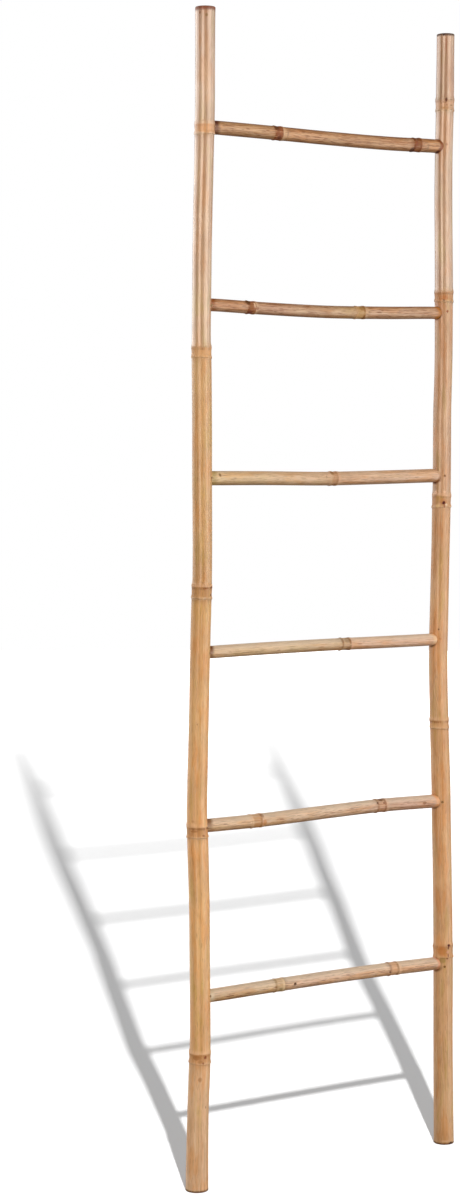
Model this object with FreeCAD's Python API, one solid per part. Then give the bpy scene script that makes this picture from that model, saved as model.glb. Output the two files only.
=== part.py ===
"""Bamboo towel ladder: two tall bamboo poles, six bamboo rungs let into drilled
holes in the poles, and one nail through each of the twelve joints.

Frame: +Z up, X along the rungs, the front faces -Y, both feet stand on z = 0.
All dimensions in millimetres.
"""

import FreeCAD
import Part
import math
import os

V = FreeCAD.Vector

# ------------------------------------------------------------------ dimensions
HEIGHT = 1750.0  # both poles, foot to top
WALL = 5.2  # wall of a pole between its nodes
DIAPHRAGM = 5.0  # solid web across the culm at each node, each side of the rings
RUNG_BORE = 0.50  # bore of a rung as a share of its diameter
TENON_PAST_AXIS = 4.6  # rung end, beyond the pole's centre line
MORTISE_PAST_AXIS = 5.0  # bottom of the drilled hole, beyond the same line
MORTISE_CLEAR = 0.05  # radial
TENON_STRAIGHT = 24.0  # straight, round stretch of a rung inside and beside a pole

NAIL_R = 1.0  # shank radius
NAIL_HOLE_CLEAR = 0.03
NAIL_LEN = 22.0  # under the head
HEAD_R = 1.9
HEAD_T = 0.9
HEAD_PROUD = 0.25  # above the pole's surface
RECESS_CLEAR = 0.06

RING_SHARP = 0.95  # sheath scar, lower ring of a node
RING_ROUND = 0.75  # nodal ridge, upper ring

# Pole centre lines and diameters: height, x, y, diameter.
POLE_LEFT = [
    (0.0, -233.3, 0.0, 34.0),
    (30.0, -233.2, 0.1, 33.6),
    (70.0, -232.4, 0.3, 32.6),
    (130.0, -230.8, 0.5, 31.8),
    (180.0, -228.5, 0.7, 32.0),
    (225.0, -227.0, 0.8, 31.0),
    (290.0, -227.0, 0.9, 30.7),
    (360.0, -227.7, 0.9, 30.8),
    (420.0, -228.2, 0.7, 30.9),
    (470.0, -229.5, 0.5, 31.1),
    (512.0, -230.8, 0.3, 31.5),
    (565.0, -232.8, -0.1, 30.3),
    (600.0, -232.5, -0.3, 30.0),
    (660.0, -231.2, -0.7, 29.8),
    (720.0, -229.8, -1.0, 29.7),
    (780.0, -228.5, -1.1, 29.9),
    (840.0, -226.8, -1.1, 29.8),
    (870.0, -225.7, -1.0, 30.0),
    (925.0, -223.6, -0.7, 29.2),
    (990.0, -223.1, -0.3, 29.2),
    (1060.0, -223.3, 0.2, 29.4),
    (1130.0, -223.0, 0.6, 29.4),
    (1200.0, -223.2, 0.9, 29.5),
    (1225.0, -223.4, 1.0, 29.6),
    (1275.0, -224.0, 0.9, 28.5),
    (1340.0, -223.4, 0.7, 28.7),
    (1400.0, -222.8, 0.4, 28.7),
    (1450.0, -221.8, 0.2, 28.6),
    (1500.0, -220.4, 0.1, 28.6),
    (1550.0, -219.3, 0.0, 28.9),
    (1600.0, -218.1, 0.0, 29.3),
    (1660.0, -217.8, 0.0, 29.3),
    (1720.0, -217.6, 0.0, 29.5),
    (1750.0, -217.4, 0.0, 30.0),
]
POLE_RIGHT = [
    (0.0, 233.7, 0.0, 32.2),
    (40.0, 232.9, -0.1, 31.8),
    (100.0, 231.8, -0.3, 31.5),
    (160.0, 230.7, -0.6, 31.2),
    (220.0, 230.1, -0.8, 31.1),
    (280.0, 229.7, -1.0, 31.2),
    (335.0, 229.0, -1.0, 30.7),
    (390.0, 228.1, -0.9, 30.4),
    (450.0, 226.9, -0.6, 30.2),
    (510.0, 225.4, -0.3, 30.2),
    (570.0, 224.4, 0.1, 30.1),
    (625.0, 222.7, 0.5, 30.0),
    (655.0, 221.5, 0.7, 29.9),
    (695.0, 220.2, 0.9, 29.6),
    (740.0, 218.7, 1.0, 29.6),
    (790.0, 218.0, 1.0, 29.5),
    (850.0, 219.1, 0.8, 29.4),
    (910.0, 220.2, 0.5, 28.9),
    (970.0, 221.3, 0.2, 28.9),
    (1000.0, 221.6, 0.0, 29.2),
    (1050.0, 222.2, -0.3, 28.5),
    (1110.0, 222.1, -0.6, 28.5),
    (1165.0, 222.1, -0.8, 28.4),
    (1210.0, 223.4, -0.9, 28.1),
    (1260.0, 224.2, -0.9, 28.2),
    (1320.0, 224.2, -0.7, 28.4),
    (1370.0, 224.1, -0.5, 28.6),
    (1430.0, 223.5, -0.3, 28.3),
    (1490.0, 222.8, -0.1, 28.3),
    (1545.0, 222.8, 0.0, 27.9),
    (1600.0, 223.8, 0.0, 27.7),
    (1625.0, 224.4, 0.0, 27.9),
    (1665.0, 224.9, 0.0, 28.1),
    (1710.0, 225.3, 0.0, 27.5),
    (1750.0, 225.6, 0.0, 27.5),
]
# Nodes of the poles: height of the sheath scar, height of the ridge above it.
NODES_LEFT = [(193.6, 208.8), (532.7, 549.5), (887.8, 905.6), (1241.1, 1256.7), (1566.5, 1581.0)]
NODES_RIGHT = [(301.0, 319.0), (668.0, 681.0), (1015.9, 1034.7), (1336.9, 1351.8), (1631.7, 1648.9)]

# Rungs from the top down: heights at the left joint, a quarter, the middle,
# three quarters and the right joint, then the diameters at left and right.
RUNGS = [
    ((1577.3, 1576.6, 1575.2, 1574.9, 1576.6), (20.2, 20.8)),
    ((1318.8, 1316.2, 1314.5, 1316.3, 1318.9), (18.8, 19.2)),
    ((1064.3, 1063.7, 1062.2, 1063.6, 1065.2), (21.2, 21.2)),
    ((806.8, 807.9, 808.3, 807.9, 807.8), (18.7, 18.8)),
    ((548.2, 548.4, 551.0, 552.9, 551.6), (20.2, 21.0)),
    ((291.6, 292.8, 293.6, 293.2, 291.5), (19.9, 20.3)),
]
# Nodes of each rung, along x: sharp ring, round ring.
RUNG_NODES = [
    [(-98.0, -85.0), (160.0, 174.0)],
    [(-146.0, -133.0), (52.0, 68.0)],
    [(6.0, 17.0)],
    [(26.0, 43.0)],
    [(-139.0, -121.0), (94.0, 111.0)],
    [(-96.0, -80.0), (120.0, 137.0)],
]
# Nails, rung 1 to 6: degrees round from straight ahead towards the rung, and
# height above the rung's centre.
NAILS_LEFT = [(44.0, 1.0), (47.0, -1.5), (43.0, 0.8), (46.0, -0.6), (32.0, -1.2), (45.0, 1.5)]
NAILS_RIGHT = [(20.0, 2.6), (14.0, 2.3), (17.0, 0.0), (24.0, 1.4), (30.0, -1.0), (28.0, -3.8)]


# -------------------------------------------------------------------- helpers
def smooth(table, t):
    """Values of a table at t, on a smooth curve through its rows."""
    n = len(table)
    if t <= table[0][0]:
        return table[0][1:]
    if t >= table[-1][0]:
        return table[-1][1:]
    i = 0
    while table[i + 1][0] < t:
        i += 1
    a, b = table[i], table[i + 1]
    h = b[0] - a[0]
    s = (t - a[0]) / h
    out = []
    for k in range(1, len(a)):
        d = (b[k] - a[k]) / h
        da = (b[k] - table[i - 1][k]) / (b[0] - table[i - 1][0]) if i > 0 else d
        db = (table[i + 2][k] - a[k]) / (table[i + 2][0] - a[0]) if i + 2 < n else d
        out.append(
            (2 * s**3 - 3 * s**2 + 1) * a[k]
            + (s**3 - 2 * s**2 + s) * h * da
            + (-2 * s**3 + 3 * s**2) * b[k]
            + (s**3 - s**2) * h * db
        )
    return tuple(out)


def ring_swell(t, nodes, scale):
    """Extra radius at t from the two rings of each node."""
    extra = 0.0
    for lo, hi in nodes:
        extra += RING_SHARP * scale * math.exp(-(((t - lo) / 2.2) ** 2))
        extra += RING_ROUND * scale * math.exp(-(((t - hi) / 3.6) ** 2))
        mid, half = (lo + hi) / 2, (hi - lo) / 2 + 3.0
        extra += 0.25 * scale * math.exp(-(((t - mid) / half) ** 4))
    return extra


def stations(start, end, nodes, step=56.0):
    """Places along a culm where it gets a cross-section."""
    marks = set()
    for lo, hi in nodes:
        for m in (lo - 9, lo - 4.5, lo - 2, lo, lo + 2, (lo + hi) / 2, hi - 4, hi, hi + 4, hi + 9):
            marks.add(round(m, 2))
    t, out = start, []
    count = int(math.ceil((end - start) / step))
    for i in range(count + 1):
        t = start + (end - start) * i / count
        if all(abs(t - (lo + hi) / 2) > (hi - lo) / 2 + 14 for lo, hi in nodes) or i in (0, count):
            out.append(round(t, 2))
    out += [m for m in marks if start + 3 < m < end - 3]
    return sorted(set(out))


def loft(circles):
    """A closed solid through circles, each (centre, normal, radius)."""
    wires = [Part.Wire([Part.makeCircle(r, c, n)]) for c, n, r in circles]
    return Part.makeLoft(wires, True, True)


UP = V(0, 0, 1)
ACROSS = V(1, 0, 0)


def pole_axis(table, z):
    x, y, d = smooth(table, z)
    return V(x, y, z), d / 2


def make_pole(table, nodes):
    zs = stations(0.0, HEIGHT, nodes)
    # a small worn round-over at the two cut ends
    circles = []
    for z in zs:
        c, r = pole_axis(table, z)
        circles.append((c, UP, r + ring_swell(z, nodes, 1.0)))
    first, last = circles[0], circles[-1]
    circles[0] = (first[0], UP, first[2] - 1.2)
    circles.insert(1, (pole_axis(table, 1.5)[0], UP, first[2] - 0.1))
    circles[-1] = (last[0], UP, last[2] - 1.2)
    circles.insert(-1, (pole_axis(table, HEIGHT - 1.5)[0], UP, last[2] - 0.1))
    body = loft(circles)

    # hollow internodes between the webs, open at both cut ends
    cuts = [(-1.0, nodes[0][0] - DIAPHRAGM)]
    for a, b in zip(nodes, nodes[1:]):
        cuts.append((a[1] + DIAPHRAGM, b[0] - DIAPHRAGM))
    cuts.append((nodes[-1][1] + DIAPHRAGM, HEIGHT + 1.0))
    for a, b in cuts:
        ring = []
        inner = [a, a + 3.0, a + 10.0]
        count = max(2, int((b - a) / 60.0))
        inner += [a + 10.0 + (b - a - 20.0) * i / count for i in range(1, count)]
        inner += [b - 10.0, b - 3.0, b]
        for z in inner:
            c, r = pole_axis(table, min(max(z, 0.0), HEIGHT))
            r -= WALL
            if (z < a + 9 and a > 0) or (z > b - 9 and b < HEIGHT):
                r *= 0.45 if z in (a, b) else 0.82
            ring.append((V(c.x, c.y, z), UP, r))
        body = body.cut(loft(ring))
    return body


def rung_table(i, x_left, x_right):
    """Centre line and diameter of a rung, level and round at its two tenons."""
    (za, zb, zc, zd, ze), (da, db) = RUNGS[i]
    s = TENON_STRAIGHT
    quarter = (x_right - x_left) / 4.0
    rows = [
        (x_left - TENON_PAST_AXIS, za, da),
        (x_left + s, za, da),
        (x_left + quarter, zb, da + (db - da) * 0.25),
        (x_left + 2 * quarter, zc, (da + db) / 2),
        (x_left + 3 * quarter, zd, da + (db - da) * 0.75),
        (x_right - s, ze, db),
        (x_right + TENON_PAST_AXIS, ze, db),
    ]
    return rows


def rung_at(rows, x):
    """Height and radius of a rung's centre line at x, exactly level at the tenons."""
    if x <= rows[1][0]:
        return rows[0][1], rows[0][2] / 2
    if x >= rows[-2][0]:
        return rows[-1][1], rows[-1][2] / 2
    z, d = smooth(rows, x)
    return z, d / 2


def make_rung(i, x_left, x_right):
    rows = rung_table(i, x_left, x_right)
    nodes = RUNG_NODES[i]
    lo, hi = rows[0][0], rows[-1][0]
    xs = set(stations(rows[1][0], rows[-2][0], nodes, 30.0)) | {lo, hi}
    circles = []
    for x in sorted(xs):
        z, r = rung_at(rows, x)
        swell = 0.0 if x <= rows[1][0] or x >= rows[-2][0] else ring_swell(x, nodes, 0.72)
        circles.append((V(x, 0, z), ACROSS, r + swell))
    body = loft(circles)
    cuts = [(lo - 1.0, nodes[0][0] - 4.0)]
    for a, b in zip(nodes, nodes[1:]):
        cuts.append((a[1] + 4.0, b[0] - 4.0))
    cuts.append((nodes[-1][1] + 4.0, hi + 1.0))
    for a, b in cuts:
        ring = []
        inner = [a, a + 7.0]
        count = max(2, int((b - a) / 30.0))
        inner += [a + 7.0 + (b - a - 14.0) * k / count for k in range(1, count)]
        inner += [b - 7.0, b]
        for x in inner:
            z, r = rung_at(rows, x)
            r *= RUNG_BORE
            if (x == a and a > lo) or (x == b and b < hi):
                r *= 0.4
            ring.append((V(x, 0, z), ACROSS, r))
        body = body.cut(loft(ring))
    return body, rows


def nail_frame(table, side, angle, z):
    """Where a nail meets the pole's surface, and its outward direction."""
    c, r = pole_axis(table, z)
    a = math.radians(angle)
    out = V(-side * math.sin(a), -math.cos(a), 0)
    return c, r, out


def cylinder(r, start, direction, length):
    return Part.makeCylinder(r, length, start, direction)


# --------------------------------------------------------------------- pieces
os.makedirs("parts", exist_ok=True)
pieces = {}

left = make_pole(POLE_LEFT, NODES_LEFT)
right = make_pole(POLE_RIGHT, NODES_RIGHT)

for i in range(6):
    z_left, z_right = RUNGS[i][0][0], RUNGS[i][0][4]
    x_left = pole_axis(POLE_LEFT, z_left)[0].x
    x_right = pole_axis(POLE_RIGHT, z_right)[0].x
    rung, rows = make_rung(i, x_left, x_right)

    # holes drilled from the inner side of each pole, stopping short of the outer wall
    r_left = rows[0][2] / 2 + MORTISE_CLEAR
    r_right = rows[-1][2] / 2 + MORTISE_CLEAR
    left = left.cut(cylinder(r_left, V(x_left - MORTISE_PAST_AXIS, 0, z_left), V(1, 0, 0), 60.0))
    right = right.cut(cylinder(r_right, V(x_right + MORTISE_PAST_AXIS, 0, z_right), V(-1, 0, 0), 60.0))

    for side, table, nails, z0 in ((-1, POLE_LEFT, NAILS_LEFT, z_left), (1, POLE_RIGHT, NAILS_RIGHT, z_right)):
        angle, dz = nails[i]
        z = z0 + dz
        c, r, out = nail_frame(table, side, angle, z)
        # the pole is a little thicker where the joint sits on a node
        r += ring_swell(z, NODES_LEFT if side < 0 else NODES_RIGHT, 1.0)
        top = c + out * (r + HEAD_PROUD)
        under = c + out * (r + HEAD_PROUD - HEAD_T)
        nail = cylinder(HEAD_R, under, out, HEAD_T)
        nail = nail.fuse(cylinder(NAIL_R, under - out * (NAIL_LEN - 3.0), out, NAIL_LEN - 3.0 + 0.2))
        tip = Part.makeCone(0.25, NAIL_R, 3.0, under - out * NAIL_LEN, out)
        nail = nail.fuse(tip).removeSplitter()
        edges = [e for e in nail.Edges if abs(e.Length - 2 * math.pi * HEAD_R) < 0.05 and (e.CenterOfMass - top).Length < 0.05]
        if edges:
            nail = nail.makeFillet(0.35, edges)
        pieces["nail_%s_%d" % ("left" if side < 0 else "right", i + 1)] = nail

        hole = cylinder(NAIL_R + NAIL_HOLE_CLEAR, under - out * (NAIL_LEN + 0.3), out, NAIL_LEN + 0.6)
        recess = cylinder(HEAD_R + RECESS_CLEAR, under - out * 0.02, out, 6.0)
        if side < 0:
            left = left.cut(hole).cut(recess)
        else:
            right = right.cut(hole).cut(recess)
        rung = rung.cut(hole).cut(recess)
    pieces["rung_%d" % (i + 1)] = rung

pieces["pole_left"] = left
pieces["pole_right"] = right

for name, shape in sorted(pieces.items()):
    solids = shape.Solids
    if len(solids) != 1:
        # keep the piece itself, not a sliver that a drilled hole frees
        solids = sorted(solids, key=lambda s: -s.Volume)
        print("%s: %d solids %s" % (name, len(solids), [round(s.Volume, 2) for s in solids]))
    solid = solids[0]
    solid.exportStep("parts/%s.step" % name)
    b = solid.BoundBox
    print(
        "%-14s valid %s shells %d faces %d volume %.0f mm3 box x %.1f..%.1f y %.1f..%.1f z %.1f..%.1f"
        % (name, solid.isValid(), len(solid.Shells), len(solid.Faces), solid.Volume, b.XMin, b.XMax, b.YMin, b.YMax, b.ZMin, b.ZMax)
    )
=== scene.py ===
"""Looks of the bamboo towel ladder: two poles, six rungs let into them, twelve nails.

Metres outside, millimetres inside the tables. A culm's skin is drawn by its angle
(0 straight ahead, towards the right pole or upwards counted positive) and by the
distance along it, which the mesh carries in its UV map "culm".
"""

import math
import random

import bmesh
import bpy
import numpy as np
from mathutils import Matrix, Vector


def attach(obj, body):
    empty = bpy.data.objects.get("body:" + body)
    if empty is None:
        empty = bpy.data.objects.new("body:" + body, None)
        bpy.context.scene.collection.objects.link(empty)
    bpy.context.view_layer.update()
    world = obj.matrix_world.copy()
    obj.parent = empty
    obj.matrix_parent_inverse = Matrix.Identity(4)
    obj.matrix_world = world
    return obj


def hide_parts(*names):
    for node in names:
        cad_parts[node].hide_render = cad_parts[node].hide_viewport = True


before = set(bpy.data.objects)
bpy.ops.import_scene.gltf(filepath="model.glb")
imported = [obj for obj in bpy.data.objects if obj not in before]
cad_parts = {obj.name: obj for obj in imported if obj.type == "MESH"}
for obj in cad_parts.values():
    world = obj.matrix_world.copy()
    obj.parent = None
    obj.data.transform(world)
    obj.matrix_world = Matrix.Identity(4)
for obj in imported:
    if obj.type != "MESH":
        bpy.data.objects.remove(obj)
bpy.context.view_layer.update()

HEIGHT = 1750.0
WALL = 5.2
WEB = 5.0
PAST_AXIS = 4.6
HOLE_PAST_AXIS = 5.0
STRAIGHT = 24.0
RING_SHARP, RING_ROUND = 0.95, 0.75
HEAD_R, HEAD_T, HEAD_PROUD, NAIL_R, NAIL_LEN = 1.9, 0.9, 0.25, 1.0, 22.0

# Pole centre lines and diameters: height, x, y, diameter.
POLE_LEFT = [
    (0.0, -233.3, 0.0, 34.0), (30.0, -233.2, 0.1, 33.6), (70.0, -232.4, 0.3, 32.6),
    (130.0, -230.8, 0.5, 31.8), (180.0, -228.5, 0.7, 32.0), (225.0, -227.0, 0.8, 31.0),
    (290.0, -227.0, 0.9, 30.7), (360.0, -227.7, 0.9, 30.8), (420.0, -228.2, 0.7, 30.9),
    (470.0, -229.5, 0.5, 31.1), (512.0, -230.8, 0.3, 31.5), (565.0, -232.8, -0.1, 30.3),
    (600.0, -232.5, -0.3, 30.0), (660.0, -231.2, -0.7, 29.8), (720.0, -229.8, -1.0, 29.7),
    (780.0, -228.5, -1.1, 29.9), (840.0, -226.8, -1.1, 29.8), (870.0, -225.7, -1.0, 30.0),
    (925.0, -223.6, -0.7, 29.2), (990.0, -223.1, -0.3, 29.2), (1060.0, -223.3, 0.2, 29.4),
    (1130.0, -223.0, 0.6, 29.4), (1200.0, -223.2, 0.9, 29.5), (1225.0, -223.4, 1.0, 29.6),
    (1275.0, -224.0, 0.9, 28.5), (1340.0, -223.4, 0.7, 28.7), (1400.0, -222.8, 0.4, 28.7),
    (1450.0, -221.8, 0.2, 28.6), (1500.0, -220.4, 0.1, 28.6), (1550.0, -219.3, 0.0, 28.9),
    (1600.0, -218.1, 0.0, 29.3), (1660.0, -217.8, 0.0, 29.3), (1720.0, -217.6, 0.0, 29.5),
    (1750.0, -217.4, 0.0, 30.0),
]
POLE_RIGHT = [
    (0.0, 233.7, 0.0, 32.2), (40.0, 232.9, -0.1, 31.8), (100.0, 231.8, -0.3, 31.5),
    (160.0, 230.7, -0.6, 31.2), (220.0, 230.1, -0.8, 31.1), (280.0, 229.7, -1.0, 31.2),
    (335.0, 229.0, -1.0, 30.7), (390.0, 228.1, -0.9, 30.4), (450.0, 226.9, -0.6, 30.2),
    (510.0, 225.4, -0.3, 30.2), (570.0, 224.4, 0.1, 30.1), (625.0, 222.7, 0.5, 30.0),
    (655.0, 221.5, 0.7, 29.9), (695.0, 220.2, 0.9, 29.6), (740.0, 218.7, 1.0, 29.6),
    (790.0, 218.0, 1.0, 29.5), (850.0, 219.1, 0.8, 29.4), (910.0, 220.2, 0.5, 28.9),
    (970.0, 221.3, 0.2, 28.9), (1000.0, 221.6, 0.0, 29.2), (1050.0, 222.2, -0.3, 28.5),
    (1110.0, 222.1, -0.6, 28.5), (1165.0, 222.1, -0.8, 28.4), (1210.0, 223.4, -0.9, 28.1),
    (1260.0, 224.2, -0.9, 28.2), (1320.0, 224.2, -0.7, 28.4), (1370.0, 224.1, -0.5, 28.6),
    (1430.0, 223.5, -0.3, 28.3), (1490.0, 222.8, -0.1, 28.3), (1545.0, 222.8, 0.0, 27.9),
    (1600.0, 223.8, 0.0, 27.7), (1625.0, 224.4, 0.0, 27.9), (1665.0, 224.9, 0.0, 28.1),
    (1710.0, 225.3, 0.0, 27.5), (1750.0, 225.6, 0.0, 27.5),
]
NODES_LEFT = [(193.6, 208.8), (532.7, 549.5), (887.8, 905.6), (1241.1, 1256.7), (1566.5, 1581.0)]
NODES_RIGHT = [(301.0, 319.0), (668.0, 681.0), (1015.9, 1034.7), (1336.9, 1351.8), (1631.7, 1648.9)]
RUNGS = [
    ((1577.3, 1576.6, 1575.2, 1574.9, 1576.6), (20.2, 20.8)),
    ((1318.8, 1316.2, 1314.5, 1316.3, 1318.9), (18.8, 19.2)),
    ((1064.3, 1063.7, 1062.2, 1063.6, 1065.2), (21.2, 21.2)),
    ((806.8, 807.9, 808.3, 807.9, 807.8), (18.7, 18.8)),
    ((548.2, 548.4, 551.0, 552.9, 551.6), (20.2, 21.0)),
    ((291.6, 292.8, 293.6, 293.2, 291.5), (19.9, 20.3)),
]
RUNG_NODES = [
    [(-98.0, -85.0), (160.0, 174.0)],
    [(-146.0, -133.0), (52.0, 68.0)],
    [(6.0, 17.0)],
    [(26.0, 43.0)],
    [(-139.0, -121.0), (94.0, 111.0)],
    [(-96.0, -80.0), (120.0, 137.0)],
]
NAILS_LEFT = [(44.0, 1.0), (47.0, -1.5), (43.0, 0.8), (46.0, -0.6), (32.0, -1.2), (45.0, 1.5)]
NAILS_RIGHT = [(20.0, 2.6), (14.0, 2.3), (17.0, 0.0), (24.0, 1.4), (30.0, -1.0), (28.0, -3.8)]

# Colour of each head: some are rusty brown, some nearly as pale as the skin.
NAIL_TONE_LEFT = [(112, 80, 50), (104, 72, 44), (122, 86, 50), (96, 64, 38), (104, 72, 40), (112, 78, 44)]
NAIL_TONE_RIGHT = [(172, 130, 98), (148, 92, 60), (134, 96, 56), (190, 138, 90), (124, 92, 42), (128, 88, 42)]

POLE_COLUMNS, RUNG_COLUMNS = 88, 64


# ------------------------------------------------------------------ curves
def smooth(table, t):
    """Values of a table at t, on a smooth curve through its rows."""
    n = len(table)
    if t <= table[0][0]:
        return table[0][1:]
    if t >= table[-1][0]:
        return table[-1][1:]
    i = 0
    while table[i + 1][0] < t:
        i += 1
    a, b = table[i], table[i + 1]
    h = b[0] - a[0]
    s = (t - a[0]) / h
    out = []
    for k in range(1, len(a)):
        d = (b[k] - a[k]) / h
        da = (b[k] - table[i - 1][k]) / (b[0] - table[i - 1][0]) if i > 0 else d
        db = (table[i + 2][k] - a[k]) / (table[i + 2][0] - a[0]) if i + 2 < n else d
        out.append(
            (2 * s**3 - 3 * s**2 + 1) * a[k]
            + (s**3 - 2 * s**2 + s) * h * da
            + (-2 * s**3 + 3 * s**2) * b[k]
            + (s**3 - s**2) * h * db
        )
    return tuple(out)


def plain_swell(t, nodes):
    """The rings of the nodes as the CAD has them, for what sits on the skin."""
    extra = 0.0
    for lo, hi in nodes:
        extra += RING_SHARP * math.exp(-(((t - lo) / 2.2) ** 2))
        extra += RING_ROUND * math.exp(-(((t - hi) / 3.6) ** 2))
        mid, half = (lo + hi) / 2, (hi - lo) / 2 + 3.0
        extra += 0.25 * math.exp(-(((t - mid) / half) ** 4))
    return extra


def rung_rows(i, x_left, x_right):
    (za, zb, zc, zd, ze), (da, db) = RUNGS[i]
    q = (x_right - x_left) / 4.0
    return [
        (x_left - PAST_AXIS, za, da),
        (x_left + STRAIGHT, za, da),
        (x_left + q, zb, da + (db - da) * 0.25),
        (x_left + 2 * q, zc, (da + db) / 2),
        (x_left + 3 * q, zd, da + (db - da) * 0.75),
        (x_right - STRAIGHT, ze, db),
        (x_right + PAST_AXIS, ze, db),
    ]


def rung_at(rows, x):
    if x <= rows[1][0]:
        return rows[0][1], rows[0][2] / 2
    if x >= rows[-2][0]:
        return rows[-1][1], rows[-1][2] / 2
    z, d = smooth(rows, x)
    return z, d / 2


def places(start, end, nodes, joints, cuts, ends, fine):
    """Distances along a culm for its rows: close at the nodes, wider elsewhere."""
    out = [start + e for e in ends]
    t = out[-1]
    last = end - ends[-1]
    while t < last - 0.4:
        step = 6.0
        for lo, hi in nodes:
            away = max(0.0, lo - 9.0 - t, t - hi - 7.0)
            step = min(step, fine + 0.11 * away)
        for j in joints:
            step = min(step, 2.0 + 0.15 * max(0.0, abs(t - j) - 16.0))
        step = min(step, 0.8 + 0.25 * (t - start))
        step = min(step, 0.8 + 0.25 * (end - t))
        t = min(t + step, last)
        out.append(t)
    out += [end - e for e in reversed(ends[:-1])]
    for c in cuts:
        k = min(range(len(out)), key=lambda i: abs(out[i] - c))
        out[k] = c
    return out


# ------------------------------------------------------------------ meshes
class Cells:
    """Hands out small boxes of the spare column of a baking map."""

    def __init__(self, x0, x1, count):
        self.x0, self.x1, self.n, self.i = x0, x1, count, 0

    def next(self):
        k = self.i % self.n
        self.i += 1
        h = 1.0 / self.n
        return (self.x0, self.x1, (k + 0.08) * h, (k + 0.92) * h)


class Shell:
    """A closed skin made of rings that are joined one after the other."""

    def __init__(self, columns, flip=False):
        self.n, self.flip = columns, flip
        self.verts, self.faces, self.mats, self.skin, self.bake = [], [], [], [], []

    def ring(self, points):
        at = len(self.verts)
        self.verts.extend((float(p[0]), float(p[1]), float(p[2])) for p in points)
        return at

    def put(self, face, mat, a, b):
        if self.flip:
            face, a, b = face[::-1], a[::-1], b[::-1]
        self.faces.append(face)
        self.mats.append(mat)
        self.skin.extend(a)
        self.bake.extend(b)

    def join(self, p, q, mat, tp, tq, cell):
        n = self.n
        x0, x1, y0, y1 = cell
        for j in range(n):
            k = (j + 1) % n
            u, v = j / n, (j + 1) / n
            self.put(
                [p + j, p + k, q + k, q + j],
                mat,
                [(u, tp), (v, tp), (v, tq), (u, tq)],
                [(x0 + (x1 - x0) * u, y0), (x0 + (x1 - x0) * v, y0), (x0 + (x1 - x0) * v, y1), (x0 + (x1 - x0) * u, y1)],
            )

    def cap(self, p, centre, mat, t, cell, forward):
        n = self.n
        c = self.ring([centre])
        x0, x1, y0, y1 = cell
        cx, cy = (x0 + x1) / 2, (y0 + y1) / 2
        for j in range(n):
            k = (j + 1) % n
            a, b = 2 * math.pi * j / n, 2 * math.pi * (j + 1) / n
            face = [c, p + j, p + k]
            skin = [(0.5, t), (j / n, t), ((j + 1) / n, t)]
            bake = [(cx, cy)] + [(cx + (x1 - x0) / 2 * math.cos(w), cy + (y1 - y0) / 2 * math.sin(w)) for w in (a, b)]
            if not forward:
                face, skin, bake = face[::-1], skin[::-1], bake[::-1]
            self.put(face, mat, skin, bake)

    def mesh(self, name, mats, scale=0.001):
        me = bpy.data.meshes.new(name)
        me.from_pydata([(x * scale, y * scale, z * scale) for x, y, z in self.verts], [], self.faces)
        me.polygons.foreach_set("material_index", self.mats)
        me.polygons.foreach_set("use_smooth", [True] * len(self.faces))
        for layer, values in (("culm", self.skin), ("OFBake", self.bake)):
            uv = me.uv_layers.new(name=layer)
            uv.data.foreach_set("uv", np.asarray(values, dtype=np.float32).ravel())
        for m in mats:
            me.materials.append(m)
        me.update()
        return me


def revolve(profile, origin, axis, columns, mats, cells, mat=1, wobble=0.0, seed=0):
    """A closed turned shape: profile of (distance along the axis, radius)."""
    axis = Vector(axis).normalized()
    side = axis.orthogonal().normalized()
    other = axis.cross(side)
    origin = Vector(origin)
    rnd = random.Random(seed)
    ph = [rnd.uniform(0, 6.28) for _ in range(3)]
    sh = Shell(columns)
    last = None
    for t, r in profile:
        pts = []
        for j in range(columns):
            a = 2 * math.pi * j / columns
            w = 1 + wobble * (0.5 * math.sin(2 * a + ph[0]) + 0.3 * math.sin(3 * a + ph[1]) + 0.2 * math.sin(5 * a + ph[2]))
            pts.append(origin + axis * t + (side * math.cos(a) + other * math.sin(a)) * r * w)
        at = sh.ring(pts)
        if last is None:
            sh.cap(at, origin + axis * t, mat, t / 1000, cells.next(), False)
        else:
            sh.join(last, at, mat, t / 1000, t / 1000 + 0.001, cells.next())
        last = at
    sh.cap(last, origin + axis * profile[-1][0], mat, 0.0, cells.next(), True)
    return sh


def merged(shells, name, mats):
    out = Shell(1)
    for s in shells:
        base = len(out.verts)
        out.verts += s.verts
        out.faces += [[base + i for i in f] for f in s.faces]
        out.mats += s.mats
        out.skin += s.skin
        out.bake += s.bake
    return out.mesh(name, mats)


def carve(me, cutters, mats):
    """Cuts groups of closed shells out of a mesh, one group after the other."""
    ob = bpy.data.objects.new("work", me)
    bpy.context.scene.collection.objects.link(ob)
    for g, shells in enumerate(cutters):
        tool = bpy.data.objects.new("tool", merged(shells, "tool", mats))
        bpy.context.scene.collection.objects.link(tool)
        mod = ob.modifiers.new("cut", "BOOLEAN")
        mod.operation, mod.solver, mod.object = "DIFFERENCE", "EXACT", tool
        bpy.context.view_layer.update()
        new = bpy.data.meshes.new_from_object(ob.evaluated_get(bpy.context.evaluated_depsgraph_get()))
        ob.modifiers.clear()
        ob.data = new
        old = tool.data
        bpy.data.objects.remove(tool)
        bpy.data.meshes.remove(old)
    done = ob.data
    bpy.data.objects.remove(ob)
    return done


def finish_mesh(me, name, degrees=38):
    me.name = name
    me.polygons.foreach_set("use_smooth", [True] * len(me.polygons))
    me.set_sharp_from_angle(angle=math.radians(degrees))
    ob = bpy.data.objects.new(name, me)
    bpy.context.scene.collection.objects.link(ob)
    return ob


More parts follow.
